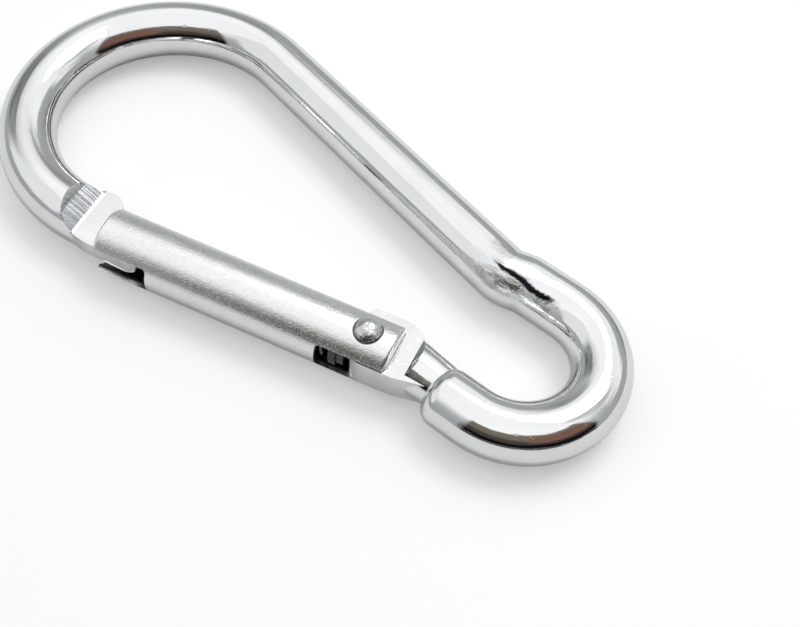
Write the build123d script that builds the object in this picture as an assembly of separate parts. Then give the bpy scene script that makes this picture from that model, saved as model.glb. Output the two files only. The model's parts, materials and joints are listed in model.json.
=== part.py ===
from build123d import *
import math
import os

# A spring hook (carabiner): one bent and forged wire, closed by a tubular gate that turns on a rivet.
# Units are mm. X runs along the hook, the gate lies on the -Y side, and the wire lies flat on the floor.

# --- driving dimensions -------------------------------------------------------------------------
length = 100.0            # overall, outside of the large bow to outside of the small bow
wire_d = 8.0              # round wire of the hook body
big_bow_r = 19.86         # large bow, to the wire's centre line
small_bow_r = 10.5        # small bow, to the wire's centre line
jog_back = 6.5            # where the spine joins the small bow's leg, back from the bow's centre
jog_drop = 0.85           # how far inside the leg's line the spine ends, before a short jog
jog_angle = 18.0          # how steeply the jog crosses to the leg's line
bend_inside_r = 0.3       # tight inside radius of the two bends of the jog
gate_axis_off = 21.57     # from the centre of the large bow to the gate's axis
pivot_back = 15.96        # rivet, back from the small bow's centre
pivot_down = 11.216       # rivet, to the gate's side of the hook's middle line
gate_od = 8.6             # gate tube, outside
gate_wall = 0.7           # gate tube, wall
gate_start = 3.6          # free end of the gate tube, along its axis
gate_over = 3.9           # how far the tube runs past the rivet
end_wall = 0.7            # wall that closes the tube at the hinge, beside the slot
open_angle = 40.0         # how far the gate swings inward
slot_h = 4.4              # height of the slots milled into the gate tube
slot_corner_r = 0.5       # their corners
nose_slot_end = 11.7      # where the slot at the nose stops
hinge_slot_l = 5.5        # how far the slot at the hinge runs inward from the rivet
tube_end_r = 0.55         # rolled outer edge of the tube's ends
tongue_t = 2.4            # thickness of the flattened nose
tongue_tip = 9.6          # its tip, along the gate's axis
lug_t = 4.1               # thickness of the flattened hinge lug
lug_out = 3.75            # the lug's outer edge, from the gate's axis
lug_corner_r = 2.4        # its rounded outer corner at the heel
heel_x = 1.85             # the lug's heel, from the rivet
lift_per_rad = 2.9        # how far the heel drives the plunger per radian of swing
neck_d = 7.1              # round neck at the lug
neck_end_d = 6.1          # the same neck where it meets the small bow
shoulder_back = 5.9       # where the small bow's full wire begins, back from the bow's centre
end_round_r = 2.2         # rounding of that end of the wire
rivet_d = 2.6             # rivet shank
rivet_head_d = 3.7        # domed head on top
rivet_head_h = 1.15       # its height above the tube
sink_d = 3.6              # countersunk lower head, flush with the tube
sink_h = 0.7              # depth of the countersink
plunger_head_l = 1.1      # plunger's head, which fits the tube
plunger_tip_d = 6.4       # its tip, which the heel drives
plunger_tip_l = 1.0       # length of the tip
plunger_stem_d = 3.2      # plunger's stem, inside the spring
plunger_stem_l = 6.5      # its length
spring_od = 6.2           # closing spring
spring_wire = 0.75        # its wire
spring_turns = 11         # working turns
spring_l = 19.0           # its length with the gate closed
seat_l = 2.5              # plug the spring stands on

# --- clearances ---------------------------------------------------------------------------------
bore_clear = 0.05         # rivet in the lug, on the radius
slide_clear = 0.05        # plunger in the tube, on the radius
rest_clear = 0.02         # closed gate against the tongue, and heel against the plunger

# --- derived ------------------------------------------------------------------------------------
wire_r = wire_d / 2
gate_r = gate_od / 2
bore_r = gate_r - gate_wall
mid_z = max(wire_r, gate_r)
big_c = Vector(-length / 2 + wire_r + big_bow_r, 0, 0)
small_c = Vector(length / 2 - wire_r - small_bow_r, 0, 0)
leg_start = Vector(small_c.X - jog_back, small_bow_r, 0)
spine_end = leg_start - Vector(jog_drop / math.tan(math.radians(jog_angle)), jog_drop, 0)
reach = (spine_end - big_c).length
spine_angle = math.asin(big_bow_r / reach) - math.asin(spine_end.Y / reach)
tangent_pt = big_c + Vector(math.sin(spine_angle), math.cos(spine_angle), 0) * big_bow_r
pivot = Vector(small_c.X - pivot_back, -pivot_down, 0)
pivot_far = (pivot - big_c).length
pivot_x = math.sqrt(pivot_far ** 2 - gate_axis_off ** 2)
gate_angle = math.degrees(math.asin(gate_axis_off / pivot_far) - math.asin(pivot_down / pivot_far))
gate_end = pivot_x + gate_over
shoulder_x = small_c.X - shoulder_back
foot = big_c + Vector(0, -gate_axis_off, 0).rotate(Axis.Z, gate_angle)
at_gate = Location((foot.X, foot.Y, mid_z), (0, 0, gate_angle))
at_pivot = at_gate * Location((pivot_x, 0, 0))
plunger_back = heel_x + rest_clear + plunger_tip_l + plunger_head_l
seat_end = pivot_x - plunger_back - spring_l


def rounded(points, radii):
    """A closed outline through the points, each corner rounded by its own radius."""
    edges = []
    count = len(points)
    starts = []
    ends = []
    for i in range(count):
        here = Vector(*points[i])
        back = (Vector(*points[i - 1]) - here)
        ahead = (Vector(*points[(i + 1) % count]) - here)
        half = math.radians(back.get_angle(ahead)) / 2
        cut = radii[i] / math.tan(half)
        a = here + back.normalized() * cut
        b = here + ahead.normalized() * cut
        middle = (back.normalized() + ahead.normalized()).normalized()
        crown = here + middle * (radii[i] / math.sin(half) - radii[i])
        starts.append(a)
        ends.append(b)
        if radii[i] > 0:
            edges.append(ThreePointArc(a, crown, b))
    for i in range(count):
        a = ends[i]
        b = starts[(i + 1) % count]
        if (b - a).length > 1e-6:
            edges.append(Line(a, b))
    return make_face(edges)


def body_path():
    """Centre line of the wire, from the nose round the large bow, the spine and the small bow."""
    nose_angle = gate_angle - 90 + 3
    spine_deg = math.degrees(spine_angle)
    sweep_deg = 360 - (90 - spine_deg) + nose_angle
    leg_end = Vector(small_c.X, small_bow_r, 0)
    spine = FilletPolyline(tangent_pt, spine_end, leg_start, leg_end, radius=wire_r + bend_inside_r)
    return Wire(
        [
            CenterArc(big_c, big_bow_r, nose_angle, -sweep_deg),
            *spine.edges(),
            CenterArc(small_c, small_bow_r, 90, -180),
            Line((small_c.X, -small_bow_r), (shoulder_x, -small_bow_r)),
        ]
    )


def bent_wire():
    """The round wire along its path, with the edge at the hinge end rolled over."""
    path = body_path()
    start = Plane(origin=path @ 0, z_dir=path % 0)
    wire = sweep(start * Circle(wire_r), path)
    end_face = wire.faces().filter_by(GeomType.PLANE).sort_by(Axis.X)[-1]
    return fillet(end_face.edges(), end_round_r)


def both_faces(cutter):
    """The cutter and its mirror image below the wire's middle plane."""
    return cutter + mirror(cutter, Plane.XY)


def nose_cut():
    """What pressing the nose flat takes away: a steep facet, a ramp, then the flat."""
    half = tongue_t / 2
    profile = rounded(
        [(-4.6, 6.0), (-2.8, 2.75), (-0.6, half), (tongue_tip + 3, half), (tongue_tip + 3, 6)],
        [0, 0.25, 0.6, 0, 0],
    )
    cutter = extrude(Plane.XZ * profile, 9, both=True)
    return both_faces(cutter)


def nose_plate():
    """The flattened nose: a spade with rounded shoulders, narrowing to the tongue in the tube."""
    half = tongue_t / 2
    inner = math.sqrt((bore_r - rest_clear) ** 2 - half ** 2)
    shoulder = 3.15
    outline = rounded(
        [
            (-5.0, -1.2),
            (1.5, -2.75),
            (tongue_tip, -3.05),
            (tongue_tip, inner - 1.0),
            (tongue_tip - 1.6, inner),
            (shoulder, inner),
            (shoulder, 6.05),
            (-0.7, 6.05),
            (-2.4, 4.6),
        ],
        [0, 6, 2.0, 0.4, 0.6, 0.1, 2.3, 0.9, 0],
    )
    plate = extrude(outline, half, both=True)
    return plate


def heel_points():
    """The heel's curve: an involute, so that the plunger moves in step with the swing."""
    points = []
    steps = 8
    for i in range(steps + 1):
        t = math.radians(open_angle) * i / steps
        h = heel_x + lift_per_rad * t
        points.append(
            (
                -h * math.cos(t) + lift_per_rad * math.sin(t),
                h * math.sin(t) + lift_per_rad * math.cos(t),
            )
        )
    return points


def hinge_lug():
    """The flattened hinge end, in the rivet's own frame, with its bore."""
    heel = heel_points()
    tip = Vector(*heel[-1])
    slope = math.radians(90 - open_angle)
    turn_r = 0.5
    top = tip + Vector(math.sin(slope), -math.cos(slope)) * turn_r
    crown = Vector(top.X, top.Y + turn_r)
    turn_mid = top + Vector(-math.sin(slope / 2), math.cos(slope / 2)) * turn_r
    corner = lug_corner_r
    outer = -lug_out
    edges = [
        Spline(*heel, tangents=[(0, 1), (math.cos(slope), math.sin(slope))]),
        ThreePointArc(tip, turn_mid, crown),
        Line(crown, (3.4, crown.Y)),
        Spline((3.4, crown.Y), (6.6, 3.5), (9.0, 1.9), tangents=[(1, 0), (1, -0.75)]),
        Line((9.0, 1.9), (9.2, -3.0)),
        Line((9.2, -3.0), (6.2, -3.5)),
        Line((6.2, -3.5), (5.0, outer)),
        Line((5.0, outer), (-heel_x + corner, outer)),
        ThreePointArc(
            (-heel_x + corner, outer),
            (-heel_x + corner * (1 - math.sqrt(0.5)), outer + corner * (1 - math.sqrt(0.5))),
            (-heel_x, outer + corner),
        ),
        Line((-heel_x, outer + corner), heel[0]),
    ]
    plate = extrude(make_face(edges), lug_t / 2, both=True)
    return plate


def lug_cut():
    """What pressing the lug flat takes away, up to the ramp that rises to the neck."""
    half = lug_t / 2
    ramp_foot = 6.4
    ramp_top = 7.4
    profile = rounded(
        [(-8, 6), (-8, half), (ramp_foot, half), (ramp_top, 3.6), (ramp_top + 0.6, 6)],
        [0, 0, 0.3, 0, 0],
    )
    cutter = extrude(Plane.XZ * profile, 7, both=True)
    return both_faces(cutter)


def neck():
    """The round neck that joins the lug to the small bow, a little thinner towards the bow."""
    rod = (Align.CENTER, Align.CENTER, Align.MIN)
    bar = Cone(neck_d / 2 + 0.15, neck_end_d / 2 - 0.15, 8.5, rotation=(0, 90, 0), align=rod)
    axis_y = -small_bow_r + (wire_d - neck_end_d) / 2
    return bar.moved(Location((shoulder_x - 6.0, axis_y, mid_z)))


def make_hook_body():
    """Bent wire, forged nose and forged hinge lug, all one piece."""
    body = bent_wire().moved(Location((0, 0, mid_z)))
    body -= nose_cut().moved(at_gate)
    body += nose_plate().moved(at_gate)
    body += neck() - lug_cut().moved(at_pivot)
    body += hinge_lug().moved(at_pivot)
    body -= Cylinder(rivet_d / 2 + bore_clear, lug_t + 2).moved(at_pivot)
    return body


def make_gate_tube():
    """The gate: a tube closed at the hinge, with a slot at the nose, a slot at the hinge, and rivet holes."""
    gate_l = gate_end - gate_start
    tube = Cylinder(gate_r, gate_l, rotation=(0, 90, 0), align=(Align.CENTER, Align.CENTER, Align.MIN))
    tube = fillet(tube.edges().filter_by(GeomType.CIRCLE), tube_end_r)
    bore_l = gate_l - end_wall
    tube -= Cylinder(bore_r, bore_l, rotation=(0, 90, 0), align=(Align.CENTER, Align.CENTER, Align.MIN))
    tube = tube.moved(Location((gate_start, 0, 0)))
    nose = Box(2 * (nose_slot_end - gate_start), gate_r, slot_h, align=(Align.CENTER, Align.MAX, Align.CENTER))
    nose = fillet(nose.edges().filter_by(Axis.Y), slot_corner_r)
    tube -= nose.moved(Location((gate_start, -0.5, 0)))
    hinge = Box(2 * (gate_over + hinge_slot_l), 2 * gate_od, slot_h)
    hinge = fillet(hinge.edges().filter_by(Axis.Y), slot_corner_r)
    tube -= hinge.moved(Location((gate_end, 0, 0)))
    tube -= Cylinder(rivet_d / 2, 2 * gate_od).moved(Location((pivot_x, 0, 0)))
    sink = Cone(sink_d / 2, rivet_d / 2, sink_h, align=(Align.CENTER, Align.CENTER, Align.MIN))
    tube -= sink.moved(Location((pivot_x, 0, -gate_r)))
    return tube.moved(at_gate)


def make_hinge_rivet():
    """The rivet: a shank through tube and lug, a dome peened over on top, a flush head below."""
    shank_top = gate_r + rivet_head_h * 0.5
    shank = Cylinder(rivet_d / 2, gate_r + shank_top, align=(Align.CENTER, Align.CENTER, Align.MIN))
    rivet = shank.moved(Location((0, 0, -gate_r)))
    head_r = rivet_head_d / 2
    ball_r = (head_r ** 2 + rivet_head_h ** 2) / (2 * rivet_head_h)
    ball = Sphere(ball_r).moved(Location((0, 0, gate_r + rivet_head_h - ball_r)))
    skirt = Cylinder(head_r, gate_wall + rivet_head_h, align=(Align.CENTER, Align.CENTER, Align.MIN))
    dome = ball & skirt.moved(Location((0, 0, gate_r - gate_wall * 0.7)))
    seat = Cylinder(gate_r, 3 * rivet_head_d, rotation=(0, 90, 0))
    rivet += dome - seat
    rivet += Cone(sink_d / 2, rivet_d / 2, sink_h, align=(Align.CENTER, Align.CENTER, Align.MIN)).moved(
        Location((0, 0, -gate_r))
    )
    return rivet.moved(at_pivot)


def make_spring_plunger():
    """The plunger: a tip that follows the lug's heel, a head that fits the tube, a stem in the spring."""
    rod = (Align.CENTER, Align.CENTER, Align.MAX)
    tip = Cylinder(plunger_tip_d / 2, plunger_tip_l + 0.2, rotation=(0, 90, 0), align=rod)
    tip = tip.moved(Location((-heel_x - rest_clear, 0, 0)))
    head = Cylinder(bore_r - slide_clear, plunger_head_l, rotation=(0, 90, 0), align=rod)
    head = fillet(head.edges().filter_by(GeomType.CIRCLE), 0.2)
    head = head.moved(Location((-heel_x - rest_clear - plunger_tip_l, 0, 0)))
    stem = Cylinder(plunger_stem_d / 2, plunger_stem_l, rotation=(0, 90, 0), align=rod)
    stem = chamfer(stem.edges().filter_by(GeomType.CIRCLE).sort_by(Axis.X)[0], 0.4)
    stem = stem.moved(Location((0.1 - plunger_back, 0, 0)))
    return (tip + head + stem).moved(at_pivot)


def make_gate_spring():
    """The closing spring: a helix between the plug and the plunger's head."""
    span = spring_l - 2 * rest_clear - spring_wire
    coil = Helix(span / spring_turns, span, (spring_od - spring_wire) / 2)
    profile = Plane(origin=coil @ 0, z_dir=coil % 0) * Circle(spring_wire / 2)
    spring = sweep(profile, coil, is_frenet=True)
    turned = spring.rotate(Axis.Y, 90)
    return turned.moved(at_gate * Location((seat_end + rest_clear + spring_wire / 2, 0, 0)))


def make_spring_seat():
    """The plug pressed into the tube, which the spring stands on."""
    plug = Cylinder(bore_r, seat_l, rotation=(0, 90, 0), align=(Align.CENTER, Align.CENTER, Align.MAX))
    plug = chamfer(plug.edges().filter_by(GeomType.CIRCLE), 0.25)
    return plug.moved(at_gate * Location((seat_end, 0, 0)))


os.makedirs("parts", exist_ok=True)
export_step(make_hook_body(), "parts/hook_body.step")
export_step(make_gate_tube(), "parts/gate_tube.step")
export_step(make_hinge_rivet(), "parts/hinge_rivet.step")
export_step(make_spring_plunger(), "parts/spring_plunger.step")
export_step(make_gate_spring(), "parts/gate_spring.step")
export_step(make_spring_seat(), "parts/spring_seat.step")
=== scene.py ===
# %% [markdown]
# # A spring hook: bent wire, tubular gate, rivet
#
# The real object is one length of round steel wire, bent into a large bow, a straight spine and a
# small bow, and pressed flat at both ends. A thin tube closes the gap. It turns on a rivet and
# springs back. The shapes come ready-made from the CAD frame, because a bent wire with forged ends
# is a solid that CAD makes exactly. What is left to make here is everything the eye reads as
# metal: how bright it is, how rough, and what it reflects.

import json
import math

import bpy
from mathutils import Matrix, Vector


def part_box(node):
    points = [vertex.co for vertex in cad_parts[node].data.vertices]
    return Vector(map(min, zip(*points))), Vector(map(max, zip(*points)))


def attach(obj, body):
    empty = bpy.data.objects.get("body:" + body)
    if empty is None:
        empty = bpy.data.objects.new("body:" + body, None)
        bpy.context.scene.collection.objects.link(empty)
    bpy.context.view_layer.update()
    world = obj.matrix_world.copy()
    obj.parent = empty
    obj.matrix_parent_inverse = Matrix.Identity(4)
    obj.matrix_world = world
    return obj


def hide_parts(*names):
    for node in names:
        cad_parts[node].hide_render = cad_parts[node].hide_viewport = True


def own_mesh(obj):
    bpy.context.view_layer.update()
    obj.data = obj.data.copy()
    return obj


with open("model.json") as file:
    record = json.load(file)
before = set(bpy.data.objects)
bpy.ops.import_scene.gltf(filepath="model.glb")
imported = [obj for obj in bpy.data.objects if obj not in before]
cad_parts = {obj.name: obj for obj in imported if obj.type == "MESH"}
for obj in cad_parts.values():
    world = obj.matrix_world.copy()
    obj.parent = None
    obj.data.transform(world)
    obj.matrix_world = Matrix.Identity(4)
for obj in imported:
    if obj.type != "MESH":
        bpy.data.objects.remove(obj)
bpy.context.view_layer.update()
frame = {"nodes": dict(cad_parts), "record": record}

# %% [markdown]
# ## The hook's own measures
#
# Later cells need to know where the gate lies and where the bows have their centres. The hinge
# joint gives the rivet's place, and the plunger's joint gives the direction of the gate. The rest
# follows from the outline: each bow is a circle that touches the end of the box.

# %% Places on the hook
MM = 0.001
behaviour = frame["record"]["behaviour"]
hinge = next(j for j in behaviour["joints"] if j["name"] == "gate_hinge")
slide = next(j for j in behaviour["joints"] if j["name"] == "plunger_slide")
rivet_at = Vector(hinge["pos_m"])
gate_dir = -Vector(slide["axis"]).normalized()
gate_side = Vector((-gate_dir.y, gate_dir.x, 0))
gate_turn = math.atan2(gate_dir.y, gate_dir.x)

WIRE_R = 4.0 * MM
BIG_R = 19.86 * MM
SMALL_R = 10.5 * MM
SPINE_TURN = math.radians(11.42)  # how far the straight spine leans from the hook's length
BEND_X = 27.7 * MM  # where the spine ends and the small bow's leg begins
body_low, body_high = (Vector(c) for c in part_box("hook_body"))
mid_z = (body_low.z + body_high.z) / 2
big_centre = Vector((body_low.x + WIRE_R + BIG_R, 0, mid_z))
small_centre = Vector((body_high.x - WIRE_R - SMALL_R, 0, mid_z))
print("gate angle", round(math.degrees(gate_turn), 2), "mid height mm", round(mid_z / MM, 2))


# %% [markdown]
# ## Writing a material as sums
#
# A material is a small calculation at each point of the surface: take a noise, stretch it, mix two
# greys by it. Blender draws such a calculation as nodes and wires. Here a small class stands for
# one socket, and the usual signs do the wiring, so that a line of Python reads like the sum it
# makes.

# %% Sockets that add and multiply
class Link:
    """One output socket of a node tree, with the arithmetic signs turned into Math nodes."""

    def __init__(self, tree, socket):
        self.tree = tree
        self.socket = socket

    def math(self, operation, *values):
        node = self.tree.nodes.new("ShaderNodeMath")
        node.operation = operation
        for place, value in zip(node.inputs, (self, *values)):
            feed(self.tree, place, value)
        return Link(self.tree, node.outputs[0])

    def __add__(self, other):
        return self.math("ADD", other)

    def __mul__(self, other):
        return self.math("MULTIPLY", other)

    def __sub__(self, other):
        return self.math("SUBTRACT", other)

    def __rsub__(self, other):
        return (self * -1.0) + other

    def __truediv__(self, other):
        return self.math("DIVIDE", other)

    def __pow__(self, other):
        return self.math("POWER", other)

    def __gt__(self, other):
        return self.math("GREATER_THAN", other)

    def __lt__(self, other):
        return self.math("LESS_THAN", other)

    def part(self, name):
        """X, Y or Z of a vector."""
        node = self.tree.nodes.new("ShaderNodeSeparateXYZ")
        self.tree.links.new(self.socket, node.inputs[0])
        return Link(self.tree, node.outputs[name])


def feed(tree, place, value):
    """Gives an input socket a value or a wire."""
    if isinstance(value, Link):
        tree.links.new(value.socket, place)
    elif hasattr(place.default_value, "__len__") and len(place.default_value) == 4:
        place.default_value = (*value, 1.0) if len(value) == 3 else value
    else:
        place.default_value = value


class Finish:
    """A new material, or the world, with its nodes cleared, and one method that adds a node."""

    def __init__(self, owner):
        owner.use_nodes = True
        self.owner = owner
        self.tree = owner.node_tree
        self.tree.nodes.clear()

    def node(self, kind, settings=None, output=0, **values):
        made = self.tree.nodes.new("ShaderNode" + kind)
        for name, setting in (settings or {}).items():
            if name == "stops":
                ramp = made.color_ramp
                while len(ramp.elements) < len(setting):
                    ramp.elements.new(0.5)
                for element, (place, shade) in zip(ramp.elements, setting):
                    element.position = place
                    element.color = shade
            else:
                setattr(made, name, setting)
        for name, value in values.items():
            feed(self.tree, made.inputs[name.replace("_", " ")], value)
        return Link(self.tree, made.outputs[output])

    def place(self):
        """Where a point lies, in metres."""
        return self.node("TexCoord", output="Object")

    def vector(self, x, y, z):
        return self.node("CombineXYZ", X=x, Y=y, Z=z)

    def noise(self, where, scale, detail=3.0, roughness=0.55):
        return self.node(
            "TexNoise", output="Fac", Vector=where, Scale=scale, Detail=detail, Roughness=roughness
        )

    def spread(self, value, low, high, to_low=0.0, to_high=1.0):
        """Stretches low..high to to_low..to_high, and stops at the ends."""
        made = self.node("MapRange", {"clamp": True}, Value=value)
        node = made.socket.node
        for place, number in zip(node.inputs[1:5], (low, high, to_low, to_high)):
            feed(self.tree, place, number)
        return made

    def vector_math(self, operation, first, second=None, output="Vector"):
        made = self.node("VectorMath", {"operation": operation}, output=output, Vector=first)
        if second is not None:
            feed(self.tree, made.socket.node.inputs[1], tuple(second))
        return made

    def dot(self, vector, direction):
        """How far a vector reaches along a direction."""
        return self.vector_math("DOT_PRODUCT", vector, direction, output="Value")

    def length(self, vector):
        return self.vector_math("LENGTH", vector, output="Value")

    def from_rivet(self):
        """Where a point lies, measured from the middle of the rivet."""
        return self.vector_math("SUBTRACT", self.place(), rivet_at)

    def colour_mix(self, share, first, second):
        node = self.tree.nodes.new("ShaderNodeMix")
        node.data_type = "RGBA"
        feed(self.tree, node.inputs[0], share)
        feed(self.tree, node.inputs[6], first)
        feed(self.tree, node.inputs[7], second)
        return Link(self.tree, node.outputs[2])

    def mix_shader(self, share, first, second):
        node = self.tree.nodes.new("ShaderNodeMixShader")
        for place, value in zip(node.inputs, (share, first, second)):
            feed(self.tree, place, value)
        return Link(self.tree, node.outputs[0])

    def bump(self, height, distance, strength=1.0):
        return self.node("Bump", output="Normal", Height=height, Distance=distance, Strength=strength)

    def surface(self, shader):
        """Joins the shader to the output."""
        kind = "OutputWorld" if isinstance(self.owner, bpy.types.World) else "OutputMaterial"
        out = self.tree.nodes.new("ShaderNode" + kind)
        self.tree.links.new(shader.socket, out.inputs["Surface"])
        return self.owner


def new_finish(name):
    return Finish(bpy.data.materials.new(name))


def give(node_name, material):
    """Puts a material on a CAD node."""
    node = frame["nodes"][node_name]
    node.data.materials.clear()
    node.data.materials.append(material)
    print(node_name, "wears", material.name, "of", len(material.node_tree.nodes), "nodes")


# %% [markdown]
# ## The gate's own direction
#
# The gate lies at an angle to the hook. Grain on the tube, and the file marks on the flattened
# nose, run along the gate, so their noise is turned to it and scaled along it and across it.

# %% Place along the gate
def gate_place(finish, along, across, up=None):
    """Object place, turned to the gate and scaled along it, across it and upward."""
    return finish.node(
        "Mapping",
        {"vector_type": "TEXTURE"},
        Vector=finish.place(),
        Location=tuple(rivet_at),
        Rotation=(0, 0, gate_turn),
        Scale=(1 / along, 1 / across, 1 / (up or across)),
    )


# %% [markdown]
# ## Polished wire
#
# The hook is bright plated steel. Wire is pulled through a hole in a hard die, which leaves faint
# lines along it, and the lines follow every bend. So the pattern is worked out across the wire: how
# far a point lies from the wire's centre line, and how high. In that pair of numbers a line along
# the wire is a single spot, so a fine noise of them, hardly changing along the way, gives the
# drawn lines round both bows and down the spine.

# %% Where a point lies in the wire's section
def across_wire(finish):
    """Distance outward from the wire's centre line, in metres, by region of the hook."""
    at = finish.place()
    x, y = at.part("X"), at.part("Y")
    from_big = ((x - big_centre.x) ** 2.0 + y ** 2.0) ** 0.5 - BIG_R
    small_x = (x - small_centre.x).math("MAXIMUM", 0.0)
    from_small = (small_x ** 2.0 + y ** 2.0) ** 0.5 - SMALL_R
    along_normal = (x - big_centre.x) * math.sin(SPINE_TURN) + y * math.cos(SPINE_TURN) - BIG_R
    tangent_x = big_centre.x + BIG_R * math.sin(SPINE_TURN)
    in_spine = (x > tangent_x) * (y > 0.0)
    in_small = x > BEND_X
    first = from_big * (1 - in_spine) + along_normal * in_spine
    return first * (1 - in_small) + from_small * in_small


# %% [markdown]
# ## Press marks and file marks
#
# The wire was bent hard against a tool where the spine meets the small bow. That left wrinkles on
# the inner side, a little tarnish in them, and one crease that wavers along the top, coloured near
# black as painted shade. The nose was pressed flat, and its ramp was filed, which left fine grooves
# running down it; they carry painted glints and painted shade, lighter towards the gate's inner
# side. Each kind of mark is multiplied by a mask, a number that is 1 inside the marked place and 0
# elsewhere, so that the rest of the wire stays bright.

# %% Masks for the marks
BEND_PLACE = (27.0 * MM, 8.4 * MM, mid_z + 2.2 * MM)
BEND_REACH = (8.0 * MM, 3.4 * MM, 3.4 * MM)
CREASE_Y = 8.2 * MM
CREASE_WAVER = 1.5 * MM
CREASE_HALF_WIDTH = 0.42 * MM
RAMP_BEGINS = -44.75 * MM  # along the gate's direction, from the rivet
RAMP_ENDS = -42.4 * MM
RAMP_LOW = 1.05 * MM  # height of the ramp's lower edge where it ends, from the wire's middle
RAMP_SLOPE = 0.70
RAMP_SIDE = 8.0 * MM


def near(finish, centre, reach, soft):
    """1 close to a place, falling to 0 where a point is as far off as reach says in x, y and z."""
    shift = finish.node(
        "Mapping",
        Vector=finish.place(),
        Location=tuple(-c / r for c, r in zip(centre, reach)),
        Scale=tuple(1 / r for r in reach),
    )
    return finish.spread(finish.length(shift), 1.0, soft)


def press_marks(finish):
    """Height of the wrinkles, strength of the tarnish, height of the fold, and the painted shade of the
    crease along it.
    """
    at = finish.place()
    x, y, z = at.part("X"), at.part("Y"), at.part("Z")
    bend = near(finish, BEND_PLACE, BEND_REACH, 0.45)
    stretched = finish.node("Mapping", Vector=at, Scale=(0.5, 1.3, 1.3))
    wrinkles = bend * finish.noise(stretched, 520.0, detail=5.0, roughness=0.68)
    tarnish = finish.spread(wrinkles, 0.40, 0.56) * 0.7
    waver = (finish.noise(at, 330.0, detail=5.0, roughness=0.7) - 0.5) * CREASE_WAVER
    along = finish.spread(x, 22.8 * MM, 26.5 * MM) * finish.spread(x, 36.0 * MM, 33.0 * MM)
    on_top = finish.spread(z, mid_z + 0.5 * MM, mid_z + 2.0 * MM) * along * (y > 0.0)
    fold = finish.spread(y + waver - CREASE_Y, -CREASE_HALF_WIDTH, CREASE_HALF_WIDTH)
    # painted shade: mask of the crease, which is coloured near black
    painted_crease_shade = finish.spread(fold * (1 - fold) * 4.0 * on_top, 0.45, 0.75)
    return wrinkles, tarnish, fold * on_top, painted_crease_shade


def file_marks(finish):
    """1 on the nose's ramps, the grooves that run down them, and the grooves' painted glints, lighter
    towards the inner side.
    """
    from_rivet = finish.from_rivet()
    lengthwise = finish.dot(from_rivet, gate_dir)
    sideways = finish.dot(from_rivet, gate_side)
    height = (finish.place().part("Z") - mid_z).math("ABSOLUTE")
    lowest = (lengthwise - RAMP_ENDS) * -RAMP_SLOPE + RAMP_LOW
    begins = finish.spread(lengthwise, RAMP_BEGINS, RAMP_BEGINS + 0.15 * MM)
    ends = finish.spread(lengthwise, RAMP_ENDS + 0.2 * MM, RAMP_ENDS)
    ramp = begins * ends * (height > lowest) * (sideways < RAMP_SIDE)
    grooves = finish.noise(gate_place(finish, 40.0, 4000.0, 60.0), 1.0, detail=2.0, roughness=0.6)
    # painted glints: the grooves are lighter towards the gate's inner side
    glints_toward_inner_side = finish.spread(sideways, -1.5 * MM, 2.0 * MM, 0.3, 1.0)
    return ramp, grooves, finish.spread(grooves, 0.46, 0.60) * glints_toward_inner_side


# %% [markdown]
# ## The wire's finish
#
# The marks go over the polish: first the two greys of the plating, then the tarnish, the crease's
# painted shade and the filed ramp with its painted glints. Their heights add up to one bump.

# %% The finish of the wire
def polished_wire():
    finish = new_finish("polished_wire")
    at = finish.place()
    section = finish.vector(across_wire(finish), at.part("Z"), at.part("X") * 0.02 + at.part("Y") * 0.02)
    lines = finish.noise(section, 2600.0, detail=4.0)
    broad = finish.noise(section, 420.0, detail=2.0)
    swell = finish.noise(at, 160.0, detail=2.0)
    specks = finish.spread(finish.noise(at, 1500.0, detail=2.0), 0.66, 0.78)
    wrinkles, tarnish, fold, painted_crease_shade = press_marks(finish)
    ramp, grooves, painted_groove_glints = file_marks(finish)

    tone = finish.spread(broad * 0.6 + swell * 0.4, 0.35, 0.65)
    shade = finish.colour_mix(tone, (0.80, 0.81, 0.82), (0.90, 0.905, 0.91))
    shade = finish.colour_mix(tarnish, shade, (0.34, 0.28, 0.27))
    # painted shade: the crease is coloured near black
    shade = finish.colour_mix(painted_crease_shade, shade, (0.02, 0.017, 0.025))
    # painted glints and painted shade on the filed grooves
    filed_with_painted_glints = finish.colour_mix(painted_groove_glints, (0.42, 0.44, 0.47), (0.98, 0.98, 0.99))
    shade = finish.colour_mix(ramp, shade, filed_with_painted_glints)
    rough = finish.spread(lines * 0.5 + swell * 0.5, 0.35, 0.7, 0.02, 0.065) + specks * 0.10 + ramp * 0.08
    polish = lines * 0.25 + broad * 0.45 + swell - specks * 0.2
    marks = wrinkles * 8.0 + ramp * grooves * 2.0 + fold * 6.0
    shader = finish.node(
        "BsdfPrincipled",
        Base_Color=shade,
        Metallic=1.0,
        Roughness=rough,
        Normal=finish.bump(polish + marks, 0.06 * MM, 0.55),
    )
    return finish.surface(shader)


give("hook_body", polished_wire())


# %% [markdown]
# ## Satin tube
#
# The gate is drawn tube that was tumbled and plated, so it is duller than the wire and finely
# grained, a little longer along the tube than round it. Its bore is coloured near black as painted
# shade. How far a point lies from the tube's axis tells the bore from the outside, and how far it
# lies from the rivet's axis gives the painted shade in the gap under the rivet's head.

# %% The tube's grain
BORE_SHADE_WITHIN = 3.75 * MM
BORE_SHADE_EDGE = 0.25 * MM
RIVET_GAP_SHADE_WITHIN = 1.92 * MM
RIVET_GAP_SHADE_EDGE = 0.10 * MM


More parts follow.
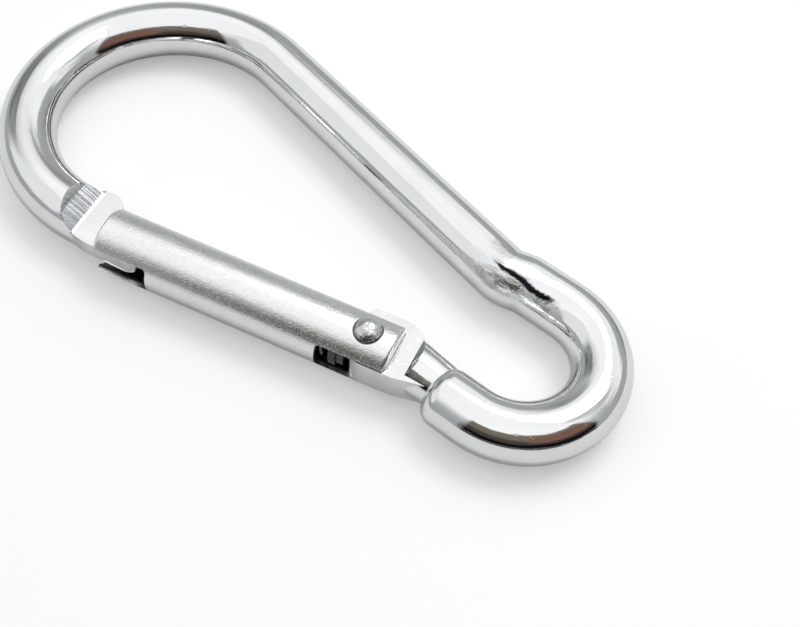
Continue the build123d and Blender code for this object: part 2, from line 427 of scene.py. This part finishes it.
def satin_tube():
    finish = new_finish("satin_tube")
    grain = finish.noise(gate_place(finish, 2400.0, 4200.0), 1.0, detail=4.0, roughness=0.7)
    scuffs = finish.noise(gate_place(finish, 330.0, 700.0), 1.0, detail=3.0)
    from_rivet = finish.from_rivet()
    from_tube_axis = finish.length(finish.vector_math("CROSS_PRODUCT", from_rivet, gate_dir))
    from_rivet_axis = (from_rivet.part("X") ** 2.0 + from_rivet.part("Y") ** 2.0) ** 0.5
    # painted shade inside the bore and in the gap under the rivet's head
    painted_bore_shade = finish.spread(from_tube_axis, BORE_SHADE_WITHIN + BORE_SHADE_EDGE, BORE_SHADE_WITHIN)
    painted_rivet_gap_shade = finish.spread(from_rivet_axis, RIVET_GAP_SHADE_WITHIN + RIVET_GAP_SHADE_EDGE, RIVET_GAP_SHADE_WITHIN)
    shade = finish.colour_mix(finish.spread(grain, 0.3, 0.7), (0.80, 0.80, 0.81), (0.93, 0.93, 0.935))
    # painted shade: the bore and the rivet's gap are coloured near black
    shade = finish.colour_mix(painted_bore_shade.math("MAXIMUM", painted_rivet_gap_shade), shade, (0.08, 0.085, 0.08))
    rough = finish.spread(grain * 0.6 + scuffs * 0.4, 0.35, 0.68, 0.15, 0.30) + painted_bore_shade * 0.2
    shader = finish.node(
        "BsdfPrincipled",
        Base_Color=shade,
        Metallic=1.0,
        Roughness=rough,
        Normal=finish.bump(grain + scuffs * 0.8, 0.05 * MM, 0.8),
    )
    return finish.surface(shader)


give("gate_tube", satin_tube())


# %% [markdown]
# ## Rivet, plunger, spring and plug
#
# The rivet's head is peened, so its dome is covered in shallow hammer marks, and painted shade
# darkens it towards its foot, where it meets the parts below. The parts inside the tube are turned
# or drawn and dull; the plunger and the spring are coloured dark as painted shade inside the tube.

# %% Small steel parts
HEAD_BRIGHT_ABOVE = rivet_at.z + 4.75 * MM
HEAD_SHADED_BELOW = rivet_at.z + 4.25 * MM


def peened_rivet():
    finish = new_finish("peened_rivet")
    at = finish.place()
    marks = finish.noise(at, 900.0, detail=2.0)
    fine = finish.noise(at, 4000.0, detail=3.0)
    # painted shade at the foot of the rivet's head
    painted_foot_shade = finish.spread(at.part("Z"), HEAD_BRIGHT_ABOVE, HEAD_SHADED_BELOW)
    dome = finish.colour_mix(marks, (0.62, 0.62, 0.62), (0.80, 0.80, 0.80))
    shader = finish.node(
        "BsdfPrincipled",
        Base_Color=finish.colour_mix(painted_foot_shade, dome, (0.22, 0.22, 0.22)),
        Metallic=1.0,
        Roughness=finish.spread(fine, 0.3, 0.7, 0.14, 0.32),
        Normal=finish.bump(marks + fine * 0.15, 0.35 * MM, 0.8),
    )
    return finish.surface(shader)


def turned_steel(name, shade_low, shade_high):
    finish = new_finish(name)
    rings = finish.noise(gate_place(finish, 5000.0, 300.0), 1.0, detail=2.0)
    shader = finish.node(
        "BsdfPrincipled",
        Base_Color=finish.colour_mix(rings, shade_low, shade_high),
        Metallic=1.0,
        Roughness=finish.spread(rings, 0.3, 0.7, 0.22, 0.4),
        Normal=finish.bump(rings, 0.03 * MM, 0.6),
    )
    return finish.surface(shader)


give("hinge_rivet", peened_rivet())
# painted shade: the plunger is coloured near black for the shade inside the tube
give("spring_plunger", turned_steel("turned_plunger", (0.05, 0.05, 0.05), (0.12, 0.12, 0.12)))
give("spring_seat", turned_steel("turned_plug", (0.50, 0.50, 0.50), (0.66, 0.66, 0.66)))

# %% [markdown]
# ## The closing spring
#
# The spring sits between the plug and the plunger, and gets shorter as the gate opens. A ring of
# ten points, screwed round the gate's axis, makes the coil, which is fixed to the gate and keeps its
# length.

# %% The coil
SPRING_LENGTH = 19.0 * MM
SPRING_WIRE_R = 0.375 * MM
SPRING_COIL_R = 2.725 * MM
SPRING_TURNS = 11
STEPS_PER_TURN = 28
END_GAP = 0.02 * MM
PLUG_FROM_RIVET = 22.97 * MM
plug_face = rivet_at - gate_dir * PLUG_FROM_RIVET
bpy.ops.object.select_all(action="DESELECT")
bpy.ops.mesh.primitive_circle_add(
    vertices=10, radius=SPRING_WIRE_R, location=(SPRING_COIL_R, 0, 0), rotation=(math.pi / 2, 0, 0)
)
coil = bpy.context.object
coil.name = "closing_spring"
bpy.ops.object.transform_apply(location=True, rotation=True, scale=True)
screw = coil.modifiers.new("turns", "SCREW")
screw.axis = "Z"
screw.angle = 2 * math.pi
screw.iterations = SPRING_TURNS
screw.screw_offset = (SPRING_LENGTH - 2 * (END_GAP + SPRING_WIRE_R)) / SPRING_TURNS
screw.steps = screw.render_steps = STEPS_PER_TURN
bpy.ops.object.modifier_apply(modifier="turns")
bpy.ops.object.mode_set(mode="EDIT")
bpy.ops.mesh.select_all(action="SELECT")
bpy.ops.mesh.remove_doubles(threshold=0.001 * MM)
bpy.ops.mesh.fill_holes(sides=12)
bpy.ops.mesh.normals_make_consistent(inside=False)
bpy.ops.object.mode_set(mode="OBJECT")
coil.rotation_euler = gate_dir.to_track_quat("Z", "Y").to_euler()
coil.location = plug_face + gate_dir * (END_GAP + SPRING_WIRE_R)
bpy.ops.object.transform_apply(location=True, rotation=True, scale=True)
bpy.ops.object.shade_smooth()
# painted shade: the spring is coloured dark for the shade inside the tube
coil.data.materials.append(turned_steel("spring_wire", (0.10, 0.10, 0.11), (0.20, 0.20, 0.21)))
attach(coil, "gate")
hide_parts("gate_spring")
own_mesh(coil)
print("spring length mm", round(SPRING_LENGTH / MM, 2), "faces", len(coil.data.polygons))

# %% [markdown]
# ## Floor
#
# A plain white table. It is a matte white that keeps the hook's soft shadow. Where the camera looks
# at it, it is lifted towards pure white, and in the metal it is the softer grey that a white table
# has from close by.

# %% The table
TABLE_LEVEL = -0.02 * MM
TABLE_GLOW = 0.34
bpy.ops.object.select_all(action="DESELECT")
bpy.ops.mesh.primitive_plane_add(size=3.0, location=(0, 0, TABLE_LEVEL))
table = bpy.context.object
table.name = "table"
finish = new_finish("white_table")
seen = finish.node("LightPath", output="Is Camera Ray")
matte = finish.node("BsdfDiffuse", Color=finish.colour_mix(seen, (0.74, 0.75, 0.74), (0.98, 0.98, 0.98)))
glow = finish.node("Emission", Color=(1.0, 1.0, 1.0), Strength=1.0)
table.data.materials.append(finish.surface(finish.mix_shader(seen * TABLE_GLOW, matte, glow)))
print("table", round(table.dimensions.x, 2), "m wide, top at mm", round(table.location.z / MM, 3))

# %% [markdown]
# ## Light
#
# Polished metal has hardly any colour of its own. It shows the room, so the room is what has to be
# right. It is white overhead, and grey along the walls behind the hook, with a lighter window and
# a few darker things. In front, someone in dark clothes stands at the table, from the horizon
# to halfway up, and that is the black line that runs low round both bows. The room is a sphere of
# directions. Each thing in it is a patch: so many degrees either side of an azimuth, between two
# heights, with a soft and slightly rippled edge.

# %% The room
world = bpy.data.worlds.new("pale_room")
bpy.context.scene.world = world
room = Finish(world)
direction = room.node("TexCoord", output="Generated")
ripple = room.noise(direction, 2.2, detail=3.0) - 0.5
height = direction.part("Z") + ripple * 0.10


def heading(azimuth):
    """How far a direction leans to an azimuth in degrees: 1 straight that way, -1 opposite."""
    x, y = direction.part("X"), direction.part("Y")
    flat = (x**2.0 + y**2.0) ** 0.5
    turn = math.radians(azimuth)
    return (x * math.cos(turn) + y * math.sin(turn)) / (flat + 0.0001)


def patch(azimuth, half_width, low, high, soft=0.035):
    """1 inside a part of the room, from low to high (sines of the elevation), 0 outside it."""
    edge = math.cos(math.radians(half_width))
    sideways = room.spread(heading(azimuth) + ripple * 0.15, edge - soft, edge + soft)
    above = room.spread(height, low - soft / 2, low + soft / 2)
    below = room.spread(height, high + soft / 2, high - soft / 2)
    return sideways * above * below


walls = room.node(
    "ValToRGB",
    {
        "stops": [
            (0.0, (0.36, 0.37, 0.37, 1)),
            (0.30, (0.37, 0.39, 0.39, 1)),
            (0.52, (0.46, 0.48, 0.48, 1)),
            (0.66, (0.72, 0.74, 0.74, 1)),
            (0.78, (1.0, 1.0, 1.0, 1)),
        ]
    },
    Fac=height,
)
clothes = room.node(
    "ValToRGB",
    {
        "stops": [
            (0.0, (0.02, 0.018, 0.018, 1)),
            (0.05, (0.11, 0.10, 0.095, 1)),
            (0.11, (0.08, 0.07, 0.065, 1)),
            (0.14, (0.003, 0.003, 0.005, 1)),
            (0.27, (0.003, 0.003, 0.005, 1)),
            (0.32, (0.045, 0.038, 0.032, 1)),
            (0.46, (0.065, 0.055, 0.045, 1)),
            (0.56, (0.15, 0.125, 0.10, 1)),
            (0.76, (0.19, 0.175, 0.15, 1)),
        ]
    },
    Fac=height,
)
person = room.colour_mix(patch(-12, 26, 0.42, 0.70), clothes, (0.20, 0.10, 0.075))  # a hand
ROOM_PATCHES = (
    ((92, 30, 0.48, 0.72), (0.92, 0.93, 0.93)),  # window behind the hook
    ((218, 26, 0.25, 0.80), (0.80, 0.82, 0.82)),  # pale wall to the left
    ((51, 13, 0.34, 0.62), (1.0, 1.0, 1.0)),  # bright blind, which the filed ramp shows
    ((168, 10, 0.20, 0.58), (0.08, 0.09, 0.09)),  # doorway
    ((128, 5, 0.30, 0.66), (0.20, 0.21, 0.21)),  # post beside the window
    ((86, 9, -0.1, 0.16), (0.13, 0.14, 0.14)),  # low cupboard
    ((40, 10, 0.66, 0.92), (0.42, 0.43, 0.42)),  # grey beam
)
shade = walls
for place, colour in ROOM_PATCHES:
    shade = room.colour_mix(patch(*place), shade, colour)
shade = room.colour_mix(patch(-42, 58, -1.0, 0.79), shade, person)
room.surface(room.node("Background", Color=shade, Strength=1.05))
print(world.name, "has", len(ROOM_PATCHES), "patches on its walls and", len(room.tree.nodes), "nodes")

# %% [markdown]
# ## Lamp
#
# One wide lamp high behind the hook gives it the soft shadow on the near side. Its place is given
# by its azimuth, its elevation and its distance, and it points at the middle of the hook.

# %% The lamp
LAMP_AZIMUTH, LAMP_ELEVATION = math.radians(78), math.radians(62)
LAMP_DISTANCE = 0.6
lamp = bpy.data.lights.new("window", "AREA")
lamp.shape = "RECTANGLE"
lamp.size = 0.36
lamp.size_y = 0.26
lamp.energy = 1.3
lamp_level = LAMP_DISTANCE * math.cos(LAMP_ELEVATION)
lamp_at = Vector(
    (
        lamp_level * math.cos(LAMP_AZIMUTH),
        lamp_level * math.sin(LAMP_AZIMUTH),
        LAMP_DISTANCE * math.sin(LAMP_ELEVATION),
    )
)
window = bpy.data.objects.new("window", lamp)
bpy.context.collection.objects.link(window)
window.location = lamp_at
window.rotation_euler = (-lamp_at).to_track_quat("-Z", "Y").to_euler()
print("lamp at m", [round(v, 3) for v in lamp_at], "of", round(lamp.energy, 2), "W")

# %% [markdown]
# ## Camera
#
# The camera looks down on the hook from the gate's side, close enough that the near end looks a
# little larger. A picture frame 36 mm wide and a lens of 56 mm give that view.

# %% The camera
LOOK_AT = Vector((19.31 * MM, -4.22 * MM, mid_z))
AZIMUTH, ELEVATION, ROLL = 0.5924, 0.959, 0.100
DISTANCE = 162.25 * MM
PICTURE_WIDTH_MM = 36.0
LENS_MM = 56.29
back = Vector(
    (
        math.sin(AZIMUTH) * math.cos(ELEVATION),
        -math.cos(AZIMUTH) * math.cos(ELEVATION),
        math.sin(ELEVATION),
    )
)
level_right = Vector((math.cos(AZIMUTH), math.sin(AZIMUTH), 0))
level_up = back.cross(level_right)
right = level_right * math.cos(ROLL) + level_up * math.sin(ROLL)
up_dir = level_up * math.cos(ROLL) - level_right * math.sin(ROLL)
camera = bpy.data.objects.new("camera", bpy.data.cameras.new("camera"))
bpy.context.collection.objects.link(camera)
turn = Matrix((right, up_dir, back)).transposed().to_4x4()
camera.matrix_world = Matrix.Translation(LOOK_AT + back * DISTANCE) @ turn
camera.data.sensor_width = PICTURE_WIDTH_MM
camera.data.lens = LENS_MM
camera.data.clip_start = 0.005
bpy.context.scene.camera = camera
bpy.context.scene.view_settings.view_transform = "Standard"
print("camera at mm", [round(v / MM, 1) for v in camera.matrix_world.translation])
